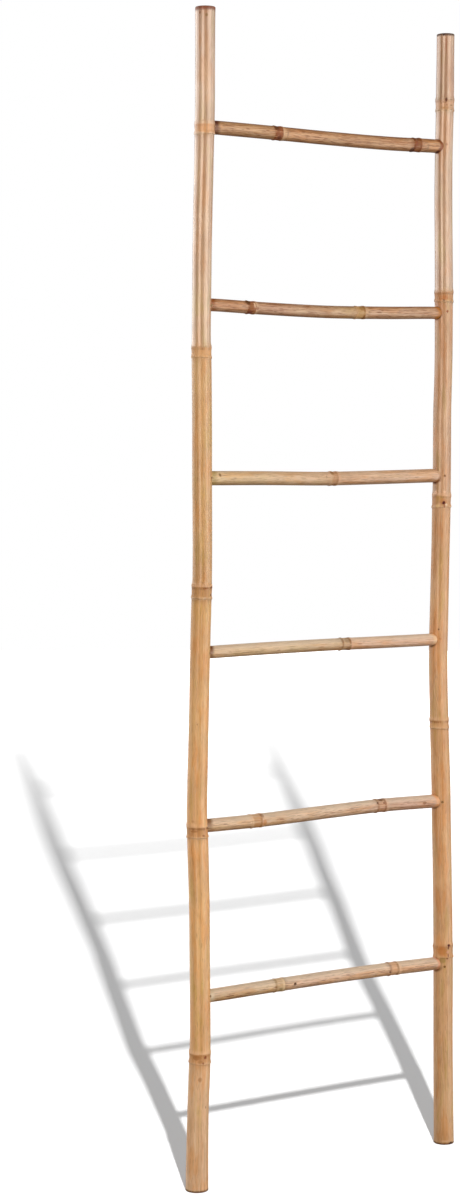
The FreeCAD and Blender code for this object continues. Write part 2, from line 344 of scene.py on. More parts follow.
class Relief:
    """The uneven skin of one culm: out-of-round section, rings, knots; the ends are rounded in culm()."""

    def __init__(self, nodes, scale, seed, knots=(), lobe=0.16):
        rnd = random.Random(seed)
        self.nodes, self.scale, self.knots, self.lobe = nodes, scale, knots, lobe
        self.form = []
        for _ in nodes:
            self.form.append(
                dict(
                    tilt=rnd.uniform(0.5, 1.3),
                    ph=rnd.uniform(0, 6.28),
                    tilt2=rnd.uniform(0.4, 1.4),
                    ph2=rnd.uniform(0, 6.28),
                    jag=[(k, rnd.uniform(0.03, 0.11), rnd.uniform(0, 6.28)) for k in (3, 5, 8, 13, 19)],
                    uneven=rnd.uniform(0, 6.28),
                )
            )
        self.wave = [(rnd.uniform(90, 260), rnd.uniform(0, 6.28), rnd.uniform(0, 6.28)) for _ in range(5)]

    def at(self, t, th):
        out = np.zeros_like(th)
        for w, (length, p, q) in enumerate(self.wave):
            k = 2 if w < 3 else 3
            out += self.lobe * (0.5 if w else 1.0) * np.cos(k * th + p + t / length) * math.cos(t / (length * 0.7) + q)
        for (lo, hi), f in zip(self.nodes, self.form):
            if t < lo - 16 or t > hi + 18:
                continue
            jag = sum(a * np.sin(k * th + p) for k, a, p in f["jag"])
            a = t - (lo + f["tilt"] * np.cos(th - f["ph"]) + jag)
            lip = np.where(a < 0, np.exp(-((a / 0.9) ** 2)), np.exp(-((a / 2.7) ** 2)))
            out += RING_SHARP * self.scale * lip * (1 + 0.18 * np.sin(th * 2 + f["uneven"]))
            b = t - (hi + f["tilt2"] * np.cos(th - f["ph2"]))
            out += RING_ROUND * self.scale * np.exp(-((b / 3.6) ** 2)) * (1 + 0.2 * np.cos(th - f["uneven"]))
            out -= 0.12 * self.scale * np.exp(-(((a - 6.0) / 2.0) ** 2))
            mid, half = (lo + hi) / 2, (hi - lo) / 2 + 3.0
            out += 0.25 * self.scale * math.exp(-(((t - mid) / half) ** 4))
        for deg, place, size, depth, radius in self.knots:
            if abs(t - place) > 5 * size:
                continue
            d = np.hypot((th - math.radians(deg)) * radius, t - place)
            out -= depth * np.exp(-((d / size) ** 2))
            out += 0.35 * depth * np.exp(-(((d - 1.7 * size) / (0.7 * size)) ** 2))
        return out


def culm(columns, ts, centre, radius, relief, place, bores, flip, strips, width, height, cells, quiet=()):
    """The closed skin of a culm. place(c, r, theta) gives points; bores are lists of (t, radius)."""
    sh = Shell(columns, flip)
    th = np.linspace(-math.pi, math.pi, columns, endpoint=False)
    start, end = ts[0], ts[-1]
    chain = []
    for t, r in reversed(bores[0]):
        chain.append((t, np.full(columns, r), 1))
    for t in ts:
        e = min(t - start, end - t)
        r = radius(t)
        edge_shift = 1.2 * (1 - math.sqrt(max(0.0, 1 - (1 - e / 1.7) ** 2))) if e < 1.7 else 0.0
        hush = 1.0
        for a, b in quiet:
            hush = min(hush, max(0.0, min(1.0, (abs(t - a) - b) / 8.0)))
        chain.append((t, r - edge_shift + relief.at(t, th) * hush, 0))
    for t, r in bores[1]:
        chain.append((t, np.full(columns, r), 1))
    span = (end - start) / strips
    last = None
    for t, r, kind in chain:
        at = sh.ring(place(centre(t), r, th))
        if last is None:
            sh.cap(at, centre(t), 1, t / 1000, cells.next(), False)
        else:
            p, tp, kp = last
            if kind == 0 and kp == 0:
                s = min(strips - 1, int(((t + tp) / 2 - start) / span))
                x0 = s * width + 0.003
                y0 = 0.004 + (height - 0.008) * (tp - start - s * span) / span
                y1 = 0.004 + (height - 0.008) * (t - start - s * span) / span
                sh.join(p, at, 0, tp / 1000, t / 1000, (x0, x0 + width - 0.007, y0, y1))
            else:
                sh.join(p, at, 1, tp / 1000, t / 1000, cells.next())
        last = (at, t, kind)
    sh.cap(last[0], centre(last[1]), 1, last[1] / 1000, cells.next(), True)
    return sh


# ------------------------------------------------------------------ shading
def linear(v):
    v /= 255.0
    return v / 12.92 if v <= 0.04045 else ((v + 0.055) / 1.055) ** 2.4


def c(r, g, b):
    return (linear(r), linear(g), linear(b), 1.0)


def warm(k):
    """A dark stain with the red kept in it, against the pale sheen that lies over it."""
    if k[0] > 0.26:
        return k
    return (min(0.3, k[0] * 1.3 + 0.012), k[1] * 0.95, k[2] * 0.25, 1.0)


class Shade:
    """Short words for the nodes of one material."""

    def __init__(self, name):
        self.mat = bpy.data.materials.new(name)
        self.mat.use_nodes = True
        self.tree = self.mat.node_tree
        self.tree.nodes.clear()

    def put(self, socket, value):
        if isinstance(value, bpy.types.NodeSocket):
            self.tree.links.new(value, socket)
        else:
            socket.default_value = value

    def math(self, op, a, b=0.0, d=None, clamp=False):
        n = self.tree.nodes.new("ShaderNodeMath")
        n.operation, n.use_clamp = op, clamp
        self.put(n.inputs[0], a)
        self.put(n.inputs[1], b)
        if d is not None:
            self.put(n.inputs[2], d)
        return n.outputs[0]

    def vector(self, x, y, z):
        n = self.tree.nodes.new("ShaderNodeCombineXYZ")
        for s, v in zip(n.inputs, (x, y, z)):
            self.put(s, v)
        return n.outputs[0]

    def vmath(self, op, a, b=None):
        n = self.tree.nodes.new("ShaderNodeVectorMath")
        n.operation = op
        self.put(n.inputs[0], a)
        if b is not None:
            self.put(n.inputs[1], b)
        return n.outputs["Value"] if op == "LENGTH" else n.outputs[0]

    def noise(self, vector, scale, detail=2.0, rough=0.5, distort=0.0):
        n = self.tree.nodes.new("ShaderNodeTexNoise")
        self.put(n.inputs["Vector"], vector)
        n.inputs["Scale"].default_value = scale
        n.inputs["Detail"].default_value = detail
        n.inputs["Roughness"].default_value = rough
        n.inputs["Distortion"].default_value = distort
        return n.outputs[0]

    def step(self, value, lo, hi, a=0.0, b=1.0):
        n = self.tree.nodes.new("ShaderNodeMapRange")
        n.interpolation_type = "SMOOTHSTEP"
        self.put(n.inputs["Value"], value)
        for key, v in (("From Min", lo), ("From Max", hi), ("To Min", a), ("To Max", b)):
            self.put(n.inputs[key], v)
        return n.outputs[0]

    def mix(self, fac, a, b, blend="MIX"):
        n = self.tree.nodes.new("ShaderNodeMix")
        n.data_type, n.blend_type = "RGBA", blend
        self.put(n.inputs[0], fac)
        self.put(n.inputs[6], a)
        self.put(n.inputs[7], b)
        return n.outputs[2]

    def ramp(self, fac, stops, how="LINEAR"):
        n = self.tree.nodes.new("ShaderNodeValToRGB")
        self.put(n.inputs[0], fac)
        r = n.color_ramp
        r.interpolation = how
        stops = sorted(stops, key=lambda s: s[0])
        while len(r.elements) < len(stops):
            r.elements.new(0.5)
        for e, (p, colour) in zip(r.elements, stops):
            e.position = min(1.0, max(0.0, p))
            e.color = colour
        return n.outputs[0], n.outputs[1]

    def surface(self, **values):
        n = self.tree.nodes.new("ShaderNodeBsdfPrincipled")
        for key, v in values.items():
            self.put(n.inputs[key.replace("_", " ")], v)
        out = self.tree.nodes.new("ShaderNodeOutputMaterial")
        self.tree.links.new(n.outputs[0], out.inputs[0])
        return n

    def bump(self, height, distance, strength=1.0):
        n = self.tree.nodes.new("ShaderNodeBump")
        n.inputs["Strength"].default_value = strength
        n.inputs["Distance"].default_value = distance
        self.put(n.inputs["Height"], height)
        return n.outputs[0]


def bamboo(name, R, start, end, nodes, tone, gloss, bands, marks, holes=(), collars=(), rims=(), seed=0.0, streaky=1.0, close=1.0, lines=None):
    """The skin of one culm.

    tone: (mm, colour) along it. gloss: (mm from which, coat, roughness).
    bands: one dict for each node; on the poles their pale ridge and above colours are partly painted highlight on the
    ring lips, their line and below colours partly painted shade under them. marks: (degrees, mm, half width, half
    length, colour, strength). holes: rung holes in a pole (mm, radius, side, top, bottom, width), stain with painted
    shade under the rung where the bottom is the stronger.
    collars: stains on a rung beside a pole, one of them a painted highlight (pole axis mm, side, pole radius,
    width, colour, strength, bias up). rims: cut ends (mm, inwards, colour, strength, length).
    """
    s = Shade(name)
    uv = s.tree.nodes.new("ShaderNodeUVMap")
    uv.uv_map = "culm"
    sep = s.tree.nodes.new("ShaderNodeSeparateXYZ")
    s.tree.links.new(uv.outputs[0], sep.inputs[0])
    t = s.math("MULTIPLY", sep.outputs[1], 1000.0)
    th = s.math("MULTIPLY_ADD", sep.outputs[0], 2 * math.pi, -math.pi)
    cs, sn = s.math("COSINE", th), s.math("SINE", th)
    x, y = s.math("MULTIPLY", cs, R), s.math("MULTIPLY", sn, R)
    arc = s.math("MULTIPLY", th, R)

    # which internode, so that no streak runs on through a node
    part = None
    jag = s.noise(s.vector(x, y, s.math("MULTIPLY", t, 0.12)), 0.85, 3.0, 0.62)
    ragged = s.math("MULTIPLY_ADD", jag, 4.4, -2.2)
    t_rag = s.math("ADD", t, ragged)
    for lo, hi in nodes:
        g = s.math("GREATER_THAN", t_rag, hi - 1.0)
        part = g if part is None else s.math("ADD", part, g)
    shift = s.math("MULTIPLY_ADD", part, 17.3, seed)

    def along(share, k=1.0):
        return s.vector(x, y, s.math("ADD", s.math("MULTIPLY", t, share), shift if k == 1.0 else s.math("MULTIPLY", shift, k)))

    streak = s.noise(along(0.018 * close), 0.27 * close, 2.0, 0.55)
    streak2 = s.noise(along(0.03 * close, 1.7), 0.42 * close, 3.0, 0.55)
    fibre = s.noise(along(0.035, 0.6), 1.5, 3.0, 0.6)
    mottle = s.noise(along(0.3, 2.3), 0.06, 3.0, 0.55)
    cloud = s.noise(along(0.2, 3.1), 0.075, 3.0, 0.55)
    dash = s.noise(along(0.06, 2.9), 1.05, 1.0, 0.5)
    grain = s.noise(along(0.004, 1.3), 1.1, 2.0, 0.5)
    speck = s.noise(along(0.25, 0.9), 1.1, 2.0, 0.5)

    length = end - start
    fac = s.math("DIVIDE", s.math("SUBTRACT", t, start), length)
    col, _ = s.ramp(fac, [((m - start) / length, k) for m, k in tone])
    col = s.mix(s.step(mottle, 0.36, 0.66, 0.0, 0.75), col, (0.82, 0.79, 0.76, 1), "MULTIPLY")
    col = s.mix(s.step(cloud, 0.49, 0.62, 0.0, 0.95), col, (1.0, 0.85, 0.66, 1), "MULTIPLY")
    col = s.mix(s.step(cloud, 0.47, 0.34, 0.0, 0.3 if lines else 0.9), col, (0.91, 0.97, 0.74, 1), "MULTIPLY")
    col = s.mix(s.step(streak, 0.46, 0.66, 0.0, min(1.0, 0.55 * streaky)), col, (0.80 - 0.08 * (streaky - 1.0), 0.71 - 0.10 * (streaky - 1.0), 0.60 - 0.12 * (streaky - 1.0), 1), "MULTIPLY")
    col = s.mix(s.step(streak2, 0.52, 0.72, 0.0, min(0.6, 0.42 * streaky)), col, c(240, 203, 162))
    col = s.mix(s.step(fibre, 0.5, 0.72, 0.0, 0.42), col, (0.76, 0.70, 0.64, 1), "MULTIPLY")
    col = s.mix(s.step(fibre, 0.46, 0.28, 0.0, 0.22), col, c(238, 205, 165))
    col = s.mix(s.step(dash, 0.585 - 0.03 * (streaky - 1.0), 0.68 - 0.03 * (streaky - 1.0), 0.0, min(0.85, 0.26 * streaky * streaky)), col, c(134, 76, 32))
    col = s.mix(s.step(speck, 0.70, 0.78, 0.0, 0.45), col, c(120, 84, 52))

    # painted shade along the top and the underside of a rung, with a ragged edge; a top value below zero paints a
    # highlight over the upper half instead
    if lines:
        upper, lower = lines
        if upper < 0:
            col = s.mix(s.step(sn, 0.0, 0.75, 0.0, -upper), col, c(246, 226, 200))
            upper = 0.0
        edge_shift = s.math("MULTIPLY_ADD", streak2, 0.3, -0.15)
        f = s.math("ADD", s.step(s.math("ADD", sn, edge_shift), 0.5, 0.92, 0.0, upper), s.step(s.math("SUBTRACT", edge_shift, sn), 0.45, 0.9, 0.0, lower))
        col = s.mix(f, col, c(128, 84, 46))

    # how glossy, in steps at the nodes
    g_fac = s.math("DIVIDE", s.math("SUBTRACT", t_rag, start), length)
    gl, _ = s.ramp(g_fac, [((m - start) / length, (w, q, 0.0, 1.0)) for m, w, q in gloss], "CONSTANT")
    g_sep = s.tree.nodes.new("ShaderNodeSeparateColor")
    s.tree.links.new(gl, g_sep.inputs[0])
    coat, rough = g_sep.outputs[0], g_sep.outputs[1]
    dull = None

    # on the poles the pale ridge and above stops are partly painted highlight on the ring lips, the dark line and below
    # stops partly painted shade under them; the body is the band's own colour
    for (lo, hi), b in zip(nodes, bands):
        a0, a1 = lo - 9.0, hi + 6.0
        f = s.math("DIVIDE", s.math("SUBTRACT", s.math("ADD", t, s.math("MULTIPLY", ragged, b.get("rag", 0.55))), a0), a1 - a0)
        below, ridge, body, line, above = ((warm(b[k][0]), b[k][1]) for k in ("below", "ridge", "body", "line", "above"))

        def stop(mm, k, share=1.0):
            return ((mm - a0) / (a1 - a0), k[0][:3] + (k[1] * share,))

        k, alpha = s.ramp(
            f,
            [
                stop(a0, below, 0.0),
                stop(lo - 3.4, below, 0.5),
                stop(lo - 1.0, below),
                stop(lo + 1.4, body),
                stop(hi - 1.6, body),
                stop(hi - 0.2, above),
                stop(hi + 2.4, above, 0.6),
                stop(a1, above, 0.0),
            ],
        )
        uneven = s.step(s.math("ADD", jag, s.math("SUBTRACT", streak, 0.5)), 0.32, 0.6, 0.45, 1.0)
        col = s.mix(s.math("MULTIPLY", alpha, uneven), col, k)
        k2, fine = s.ramp(
            f,
            [
                stop(lo - 3.0, ridge, 0.0),
                stop(lo - 0.9, ridge, 0.85),
                stop(lo + 1.0, ridge, 0.85),
                stop(lo + 3.2, ridge, 0.0),
                stop(hi - 5.6, line, 0.0),
                stop(hi - 3.4, line),
                stop(hi - 1.8, line, 0.85),
                stop(hi - 0.2, line, 0.0),
            ],
        )
        round_it = s.noise(s.vector(s.math("MULTIPLY", cs, 1.5), s.math("MULTIPLY", sn, 1.5), seed + lo * 0.01), 1.0, 2.0, 0.6)
        broken = s.step(s.math("ADD", round_it, s.math("MULTIPLY_ADD", jag, 0.4, -0.2)), 0.4, 0.56, 0.22, 1.0)
        col = s.mix(s.math("MULTIPLY", fine, broken), col, k2)
        m = s.math("MULTIPLY", alpha, b.get("dull", 0.55))
        dull = m if dull is None else s.math("MAXIMUM", dull, m)

    # stain and crushed fibre round the drilled holes, and painted shade under the rung where the bottom strength is the
    # larger
    for place, r, side, top, bottom, wide in holes:
        dz = s.math("SUBTRACT", t, place)
        d = s.vmath("LENGTH", s.vector(x, dz, 0.0))
        d = s.math("ADD", d, s.math("MULTIPLY", ragged, 0.35))
        near = s.step(d, r + 0.1, r + wide, 1.0, 0.0)
        facing = s.step(s.math("MULTIPLY", sn, float(side)), 0.0, 0.2)
        weight = s.step(dz, -r * 0.95, -r * 0.1, bottom, top)
        f = s.math("MULTIPLY", s.math("MULTIPLY", near, facing), weight)
        col = s.mix(f, col, c(118, 66, 26))
        dull = f if dull is None else s.math("MAXIMUM", dull, f)

    # stain on the rung beside each pole; the pale collar at the right end of the fourth rung is a painted highlight
    for axis, side, rp, wide, colour, strength, up in collars:
        off = s.math("SQRT", s.math("SUBTRACT", rp * rp, s.math("MULTIPLY", x, x)))
        d = s.math("SUBTRACT", s.math("MULTIPLY", s.math("SUBTRACT", t, axis), float(side)), off)
        d = s.math("ADD", d, s.math("MULTIPLY", ragged, 0.5))
        near = s.step(d, wide * 0.35, wide * 1.15, strength, 0.0)
        if up:
            near = s.math("MULTIPLY", near, s.step(s.math("MULTIPLY", sn, 1.0 if up > 0 else -1.0), -0.9, 0.6, 1.0 - abs(up), 1.0))
        col = s.mix(near, col, warm(colour))

    for place, inwards, colour, strength, deep in rims:
        d = s.math("MULTIPLY", s.math("SUBTRACT", t, place), float(inwards))
        d = s.math("ADD", d, s.math("MULTIPLY", ragged, 0.8))
        f = s.step(d, deep * 0.45, deep * 1.25, strength, 0.0)
        col = s.mix(f, col, colour)
        dull = s.math("MAXIMUM", dull, f)

    at = s.vector(arc, t, 0.0)
    wander = s.math("MULTIPLY_ADD", s.noise(along(1.0, 0.4), 0.9, 2.0, 0.6), 0.9, 0.55)
    for deg, place, wide, long, colour, strength in marks:
        v = s.vmath("SUBTRACT", at, (math.radians(deg) * R, place, 0.0))
        v = s.vmath("MULTIPLY", v, (1 / wide, 1 / long, 0.0))
        d = s.math("MULTIPLY", s.vmath("LENGTH", v), wander)
        spot = s.step(d, 0.55, 1.25, strength, 0.0)
        col = s.mix(spot, col, warm(colour))
        if colour[0] < 0.15:
            dull = s.math("MAXIMUM", dull, spot)

    coat = s.math("MULTIPLY", coat, s.math("SUBTRACT", 1.0, dull), clamp=True)
    coat = s.math("MULTIPLY", coat, s.step(mottle, 0.25, 0.75, 1.0, 0.72))
    rough = s.math("ADD", rough, s.math("MULTIPLY_ADD", grain, 0.2, -0.1))
    rough = s.math("ADD", rough, s.math("MULTIPLY", dull, 0.3), clamp=True)
    height = s.math("ADD", s.math("MULTIPLY", grain, 0.6), s.math("MULTIPLY", streak2, 0.6))
    height = s.math("ADD", height, s.math("MULTIPLY", s.math("MULTIPLY", jag, dull), 0.9))
    s.surface(
        Base_Color=col,
        Roughness=rough,
        Coat_Weight=coat,
        Coat_Roughness=0.19,
        Coat_IOR=1.5,
        IOR=1.42,
        Specular_IOR_Level=0.2,
        Normal=s.bump(height, 0.00007, 0.4),
    )
    return s.mat


def end_grain(name, seed):
    """Sawn wall, drilled holes and the papery inside of a culm."""
    s = Shade(name)
    co = s.tree.nodes.new("ShaderNodeTexCoord").outputs["Object"]
    p = s.vmath("MULTIPLY", co, (1000.0, 1000.0, 1000.0))
    long = s.vmath("MULTIPLY", co, (1000.0, 1000.0, 60.0))
    vor = s.tree.nodes.new("ShaderNodeTexVoronoi")
    vor.inputs["Scale"].default_value = 1.15
    vor.inputs["Randomness"].default_value = 0.8
    s.tree.links.new(long, vor.inputs["Vector"])
    dot = s.step(vor.outputs["Distance"], 0.16, 0.34, 1.0, 0.0)
    soft = s.noise(p, 0.16 + seed * 0.01, 3.0, 0.55)
    saw = s.noise(s.vmath("MULTIPLY", p, (0.25, 3.5, 1.0)), 1.0, 3.0, 0.6)
    col = s.mix(s.step(soft, 0.3, 0.7), c(214, 180, 134), c(184, 142, 96))
    col = s.mix(s.math("MULTIPLY", dot, 0.75), col, c(104, 68, 38))
    col = s.mix(s.step(saw, 0.5, 0.72, 0.0, 0.4), col, c(150, 108, 68))
    col = s.mix(s.step(soft, 0.62, 0.78, 0.0, 0.6), col, c(92, 62, 36))
    height = s.math("ADD", s.math("MULTIPLY", dot, -0.8), saw)
    s.surface(
        Base_Color=col,
        Roughness=s.step(saw, 0.2, 0.8, 0.62, 0.88),
        Specular_IOR_Level=0.25,
        Normal=s.bump(height, 0.00018, 0.7),
    )
    return s.mat


def nail_steel(name, tone):
    s = Shade(name)
    r, g, b = tone
    co = s.tree.nodes.new("ShaderNodeTexCoord").outputs["Object"]
    p = s.vmath("MULTIPLY", co, (1000.0, 1000.0, 1000.0))
    rust = s.noise(p, 0.9, 4.0, 0.6)
    grain = s.noise(p, 4.5, 3.0, 0.6)
    col = s.mix(s.step(rust, 0.38, 0.62), c(r, g, b), c(r * 0.96, g * 0.82, b * 0.66))
    col = s.mix(s.step(grain, 0.55, 0.75, 0.0, 0.3), col, c(r * 1.2, g * 1.2, b * 1.15))
    s.surface(
        Base_Color=col,
        Metallic=s.step(rust, 0.42, 0.62, 0.25, 0.0),
        Specular_IOR_Level=0.2,
        Roughness=s.step(grain, 0.25, 0.75, 0.5, 0.75),
        Normal=s.bump(s.math("ADD", grain, rust), 0.00012, 0.6),
    )
    return s.mat


def band(below=None, ridge=None, body=None, line=None, above=None, rag=0.55, dull=0.55):
    none = (c(190, 140, 95), 0.0)
    return dict(below=below or none, ridge=ridge or none, body=body or none, line=line or none, above=above or none, rag=rag, dull=dull)


DARK = c(74, 30, 2)
BLACK = c(44, 14, 0)
BROWN = c(124, 74, 36)
OLIVE = c(112, 90, 52)
PALE = c(240, 200, 156)
PEACH = c(238, 184, 140)
ORANGE = c(206, 140, 82)

# Colour along the poles, colour and gloss of the internodes.
TONE_LEFT = [
    (0, c(237, 188, 143)), (90, c(245, 195, 146)), (185, c(244, 191, 139)), (215, c(240, 180, 117)),
    (400, c(251, 195, 128)), (525, c(247, 184, 119)), (700, c(242, 186, 120)), (880, c(232, 173, 108)),
    (912, c(216, 162, 101)), (1080, c(222, 168, 105)), (1235, c(226, 174, 113)), (1262, c(208, 164, 119)),
    (1400, c(210, 166, 125)), (1560, c(204, 158, 119)), (1590, c(204, 162, 125)), (1640, c(208, 168, 135)), (1750, c(198, 154, 121)),
]
TONE_RIGHT = [
    (0, c(217, 166, 114)), (120, c(228, 174, 120)), (296, c(222, 167, 113)), (330, c(226, 169, 113)),
    (500, c(230, 173, 117)), (662, c(230, 171, 113)), (690, c(232, 173, 117)), (860, c(230, 173, 119)),
    (1010, c(218, 162, 111)), (1040, c(208, 158, 115)), (1200, c(212, 162, 119)), (1330, c(210, 158, 113)),
    (1360, c(202, 158, 121)), (1500, c(206, 162, 123)), (1626, c(202, 156, 119)), (1655, c(194, 147, 111)),
    (1750, c(194, 145, 107)),
]
GLOSS_LEFT = [(0, 0.08, 0.52), (205, 0.12, 0.48), (546, 0.14, 0.46), (903, 0.30, 0.40), (1254, 1.0, 0.34), (1579, 1.0, 0.34)]
GLOSS_RIGHT = [(0, 0.08, 0.52), (316, 0.11, 0.48), (678, 0.14, 0.45), (1032, 0.36, 0.40), (1349, 0.95, 0.34), (1646, 0.95, 0.34)]

# Pole node bands: the pale ridge and above colours are partly painted highlight on the ring lips, the line and below
# colours partly painted shade under them.
BANDS_LEFT = [
    band((c(196, 136, 80), 0.3), (PALE, 0.35), (c(198, 136, 74), 0.6), (c(186, 122, 62), 0.4), (PEACH, 0.6)),
    band((c(176, 116, 66), 0.4), (PALE, 0.5), (c(190, 124, 66), 0.7), (c(150, 92, 48), 0.55), (PEACH, 0.35)),
    band((c(140, 90, 46), 0.6), (PALE, 0.75), (c(190, 132, 76), 0.75), (c(150, 98, 52), 0.7), (PEACH, 0.7)),
    band((c(196, 140, 80), 0.5), (PALE, 0.6), (c(226, 166, 106), 0.9), (c(150, 98, 54), 0.65), (c(214, 162, 118), 0.3), rag=0.9),
    band((c(168, 128, 80), 0.55), (c(246, 208, 170), 0.7), (c(226, 160, 100), 0.9), (c(188, 126, 74), 0.45), (PEACH, 0.5)),
]
BANDS_RIGHT = [
    band((c(176, 116, 66), 0.3), (PALE, 0.3), (c(206, 144, 84), 0.45), (c(190, 124, 66), 0.4), (c(120, 74, 40), 0.5)),
    band((c(176, 116, 66), 0.3), (PALE, 0.35), (c(212, 152, 94), 0.4), (c(136, 84, 46), 0.6), (PEACH, 0.4)),
    band((c(190, 130, 80), 0.4), (PALE, 0.45), (c(206, 146, 94), 0.5), (c(176, 116, 70), 0.45), (PEACH, 0.6)),
    band((OLIVE, 0.4), (PALE, 0.5), (c(198, 136, 78), 0.85), (c(150, 96, 50), 0.7), (c(214, 162, 118), 0.3), rag=0.9),
    band((c(160, 130, 80), 0.4), (PALE, 0.5), (c(206, 146, 90), 0.7), (c(160, 106, 62), 0.5), (c(150, 110, 66), 0.4)),
]
# Degrees round the pole, height, half width, half length, colour, strength.
MARKS_LEFT = [
    (-64, 1739.9, 1.7, 1.9, c(118, 74, 46), 0.8), (-24, 1736.7, 2.2, 2.4, OLIVE, 0.75),
    (-45, 1746.5, 5.0, 2.0, c(150, 78, 44), 0.6),
    (29, 903.7, 2.6, 2.0, DARK, 0.85), (32, 892.6, 2.2, 2.0, DARK, 0.85), (-9, 902.6, 5.0, 1.3, BROWN, 0.6),
    (-52, 543.0, 6.0, 1.7, c(180, 108, 48), 0.65), (2, 536.3, 2.2, 1.8, c(150, 88, 40), 0.8), (-57, 557.7, 2.4, 2.2, ORANGE, 0.6),
    (-2, 203.4, 2.3, 2.8, c(116, 58, 20), 0.9), (-14, 194.9, 1.7, 1.6, c(116, 62, 26), 0.8), (-50, 203.0, 6.0, 4.0, c(168, 100, 44), 0.6), (-28, 196.5, 5.0, 2.6, c(172, 108, 50), 0.5),
    (-28, 170.3, 3.0, 3.8, c(186, 112, 50), 0.6), (12, 128.0, 1.0, 2.2, BROWN, 0.55), (-40, 702.0, 0.9, 1.6, BROWN, 0.5),
    (-12, 1380.0, 0.8, 3.0, BROWN, 0.45), (120, 410.0, 1.6, 1.8, DARK, 0.7), (-150, 980.0, 1.3, 2.2, BROWN, 0.7),
    (150, 1420.0, 1.5, 1.5, BROWN, 0.6), (90, 760.0, 1.0, 2.8, BROWN, 0.6),
]
MARKS_RIGHT = [
    (-49, 1747.4, 2.0, 1.8, BLACK, 0.95), (-66, 1722.0, 1.2, 30.0, c(132, 84, 52), 0.7), (-63, 1672.0, 1.0, 28.0, c(140, 94, 60), 0.5),
    (-33, 1731.0, 1.3, 14.0, c(162, 84, 52), 0.6),
    (-30, 1647.6, 2.0, 3.4, DARK, 0.9), (-59, 1642.7, 1.3, 1.2, BROWN, 0.7), (-48, 1644.1, 1.6, 1.1, BROWN, 0.7), (-36, 1643.6, 1.5, 1.0, BROWN, 0.6),
    (6, 1648.0, 3.6, 1.2, OLIVE, 0.7), (8, 1639.5, 3.4, 1.2, OLIVE, 0.65), (8, 1632.5, 3.2, 1.2, OLIVE, 0.6), (-25, 1639.8, 1.4, 1.4, BROWN, 0.5),
    (11, 1336.4, 2.4, 2.0, OLIVE, 0.8), (-37, 1338.6, 1.6, 1.3, DARK, 0.8), (-30, 1343.0, 6.0, 4.0, c(190, 112, 50), 0.75), (-56, 1341.0, 3.6, 4.6, c(196, 120, 58), 0.6),
    (-26, 1024.5, 6.6, 5.4, c(196, 122, 60), 0.75), (-23, 1022.8, 2.9, 3.0, c(66, 18, 2), 1.0), (-52, 1030.0, 5.0, 6.0, c(196, 140, 62), 0.6), (-60, 1018.0, 4.0, 3.0, c(240, 196, 130), 0.6), (-20, 1017.5, 1.6, 3.0, c(128, 70, 30), 0.7), (-6, 1020.0, 2.2, 1.9, c(246, 214, 176), 0.8), (-76, 1039.0, 3.0, 2.6, PEACH, 0.75), (-20, 1039.8, 3.0, 2.2, PEACH, 0.75),
    (-37, 824.3, 1.4, 1.4, DARK, 0.75),
    (-45, 312.5, 7.4, 8.4, c(206, 124, 52), 0.75), (-24, 309.0, 4.0, 6.6, c(200, 130, 60), 0.7), (-40, 298.0, 5.0, 5.0, c(160, 126, 54), 0.6),
    (-3, 321.6, 2.6, 2.3, c(66, 22, 2), 1.0), (-6, 318.4, 1.3, 3.4, DARK, 0.85), (-7, 305.6, 1.1, 3.0, c(110, 46, 14), 0.85), (-12, 300.6, 2.0, 1.5, c(120, 60, 24), 0.75), (-10, 311.0, 2.2, 2.0, c(224, 160, 130), 0.6),
    (7, 1.6, 4.2, 3.0, c(52, 34, 20), 0.95), (-30, 6.0, 6.0, 1.3, PALE, 0.4),
    (130, 560.0, 1.8, 1.6, DARK, 0.7), (170, 1180.0, 1.2, 2.4, BROWN, 0.6), (-120, 880.0, 1.4, 1.4, BROWN, 0.7),
]
# Rung holes: top and bottom strength, width of the stain; the strong bottoms, most on the right pole, are painted shade
# under the rungs.
HOLES_LEFT = [(0.45, 0.5, 1.8), (0.4, 0.4, 1.6), (0.25, 0.35, 1.4), (0.4, 0.5, 1.6), (0.4, 0.45, 1.8), (0.1, 0.2, 1.2)]
HOLES_RIGHT = [(0.6, 0.9, 1.8), (0.3, 0.8, 2.4), (0.05, 0.95, 4.2), (0.05, 0.95, 4.8), (0.1, 0.8, 3.6), (0.1, 0.85, 4.4)]
# Stain on the rung beside the pole, and at the right end of the fourth rung a painted highlight: width, colour,
# strength, bias upwards (-) downwards.
COLLARS = [
    ((10.4, c(78, 40, 18), 0.97, 0.3), (7.4, c(116, 68, 32), 0.97, 0.0)),
    ((9.0, c(128, 78, 40), 0.9, 0.4), (9.4, c(186, 116, 42), 0.97, 0.0)),
    ((10.4, c(186, 152, 86), 0.8, 0.2), (5.0, c(176, 112, 56), 0.8, -0.9)),
    ((8.6, c(98, 60, 32), 0.95, 0.4), (7.0, c(250, 204, 150), 0.8, 0.3)),
    ((9.4, c(108, 76, 40), 0.85, 0.7), (8.4, c(244, 176, 118), 0.95, 0.2)),
    ((8.6, c(220, 196, 160), 0.75, 0.0), (6.0, c(236, 160, 112), 0.8, 0.0)),
]
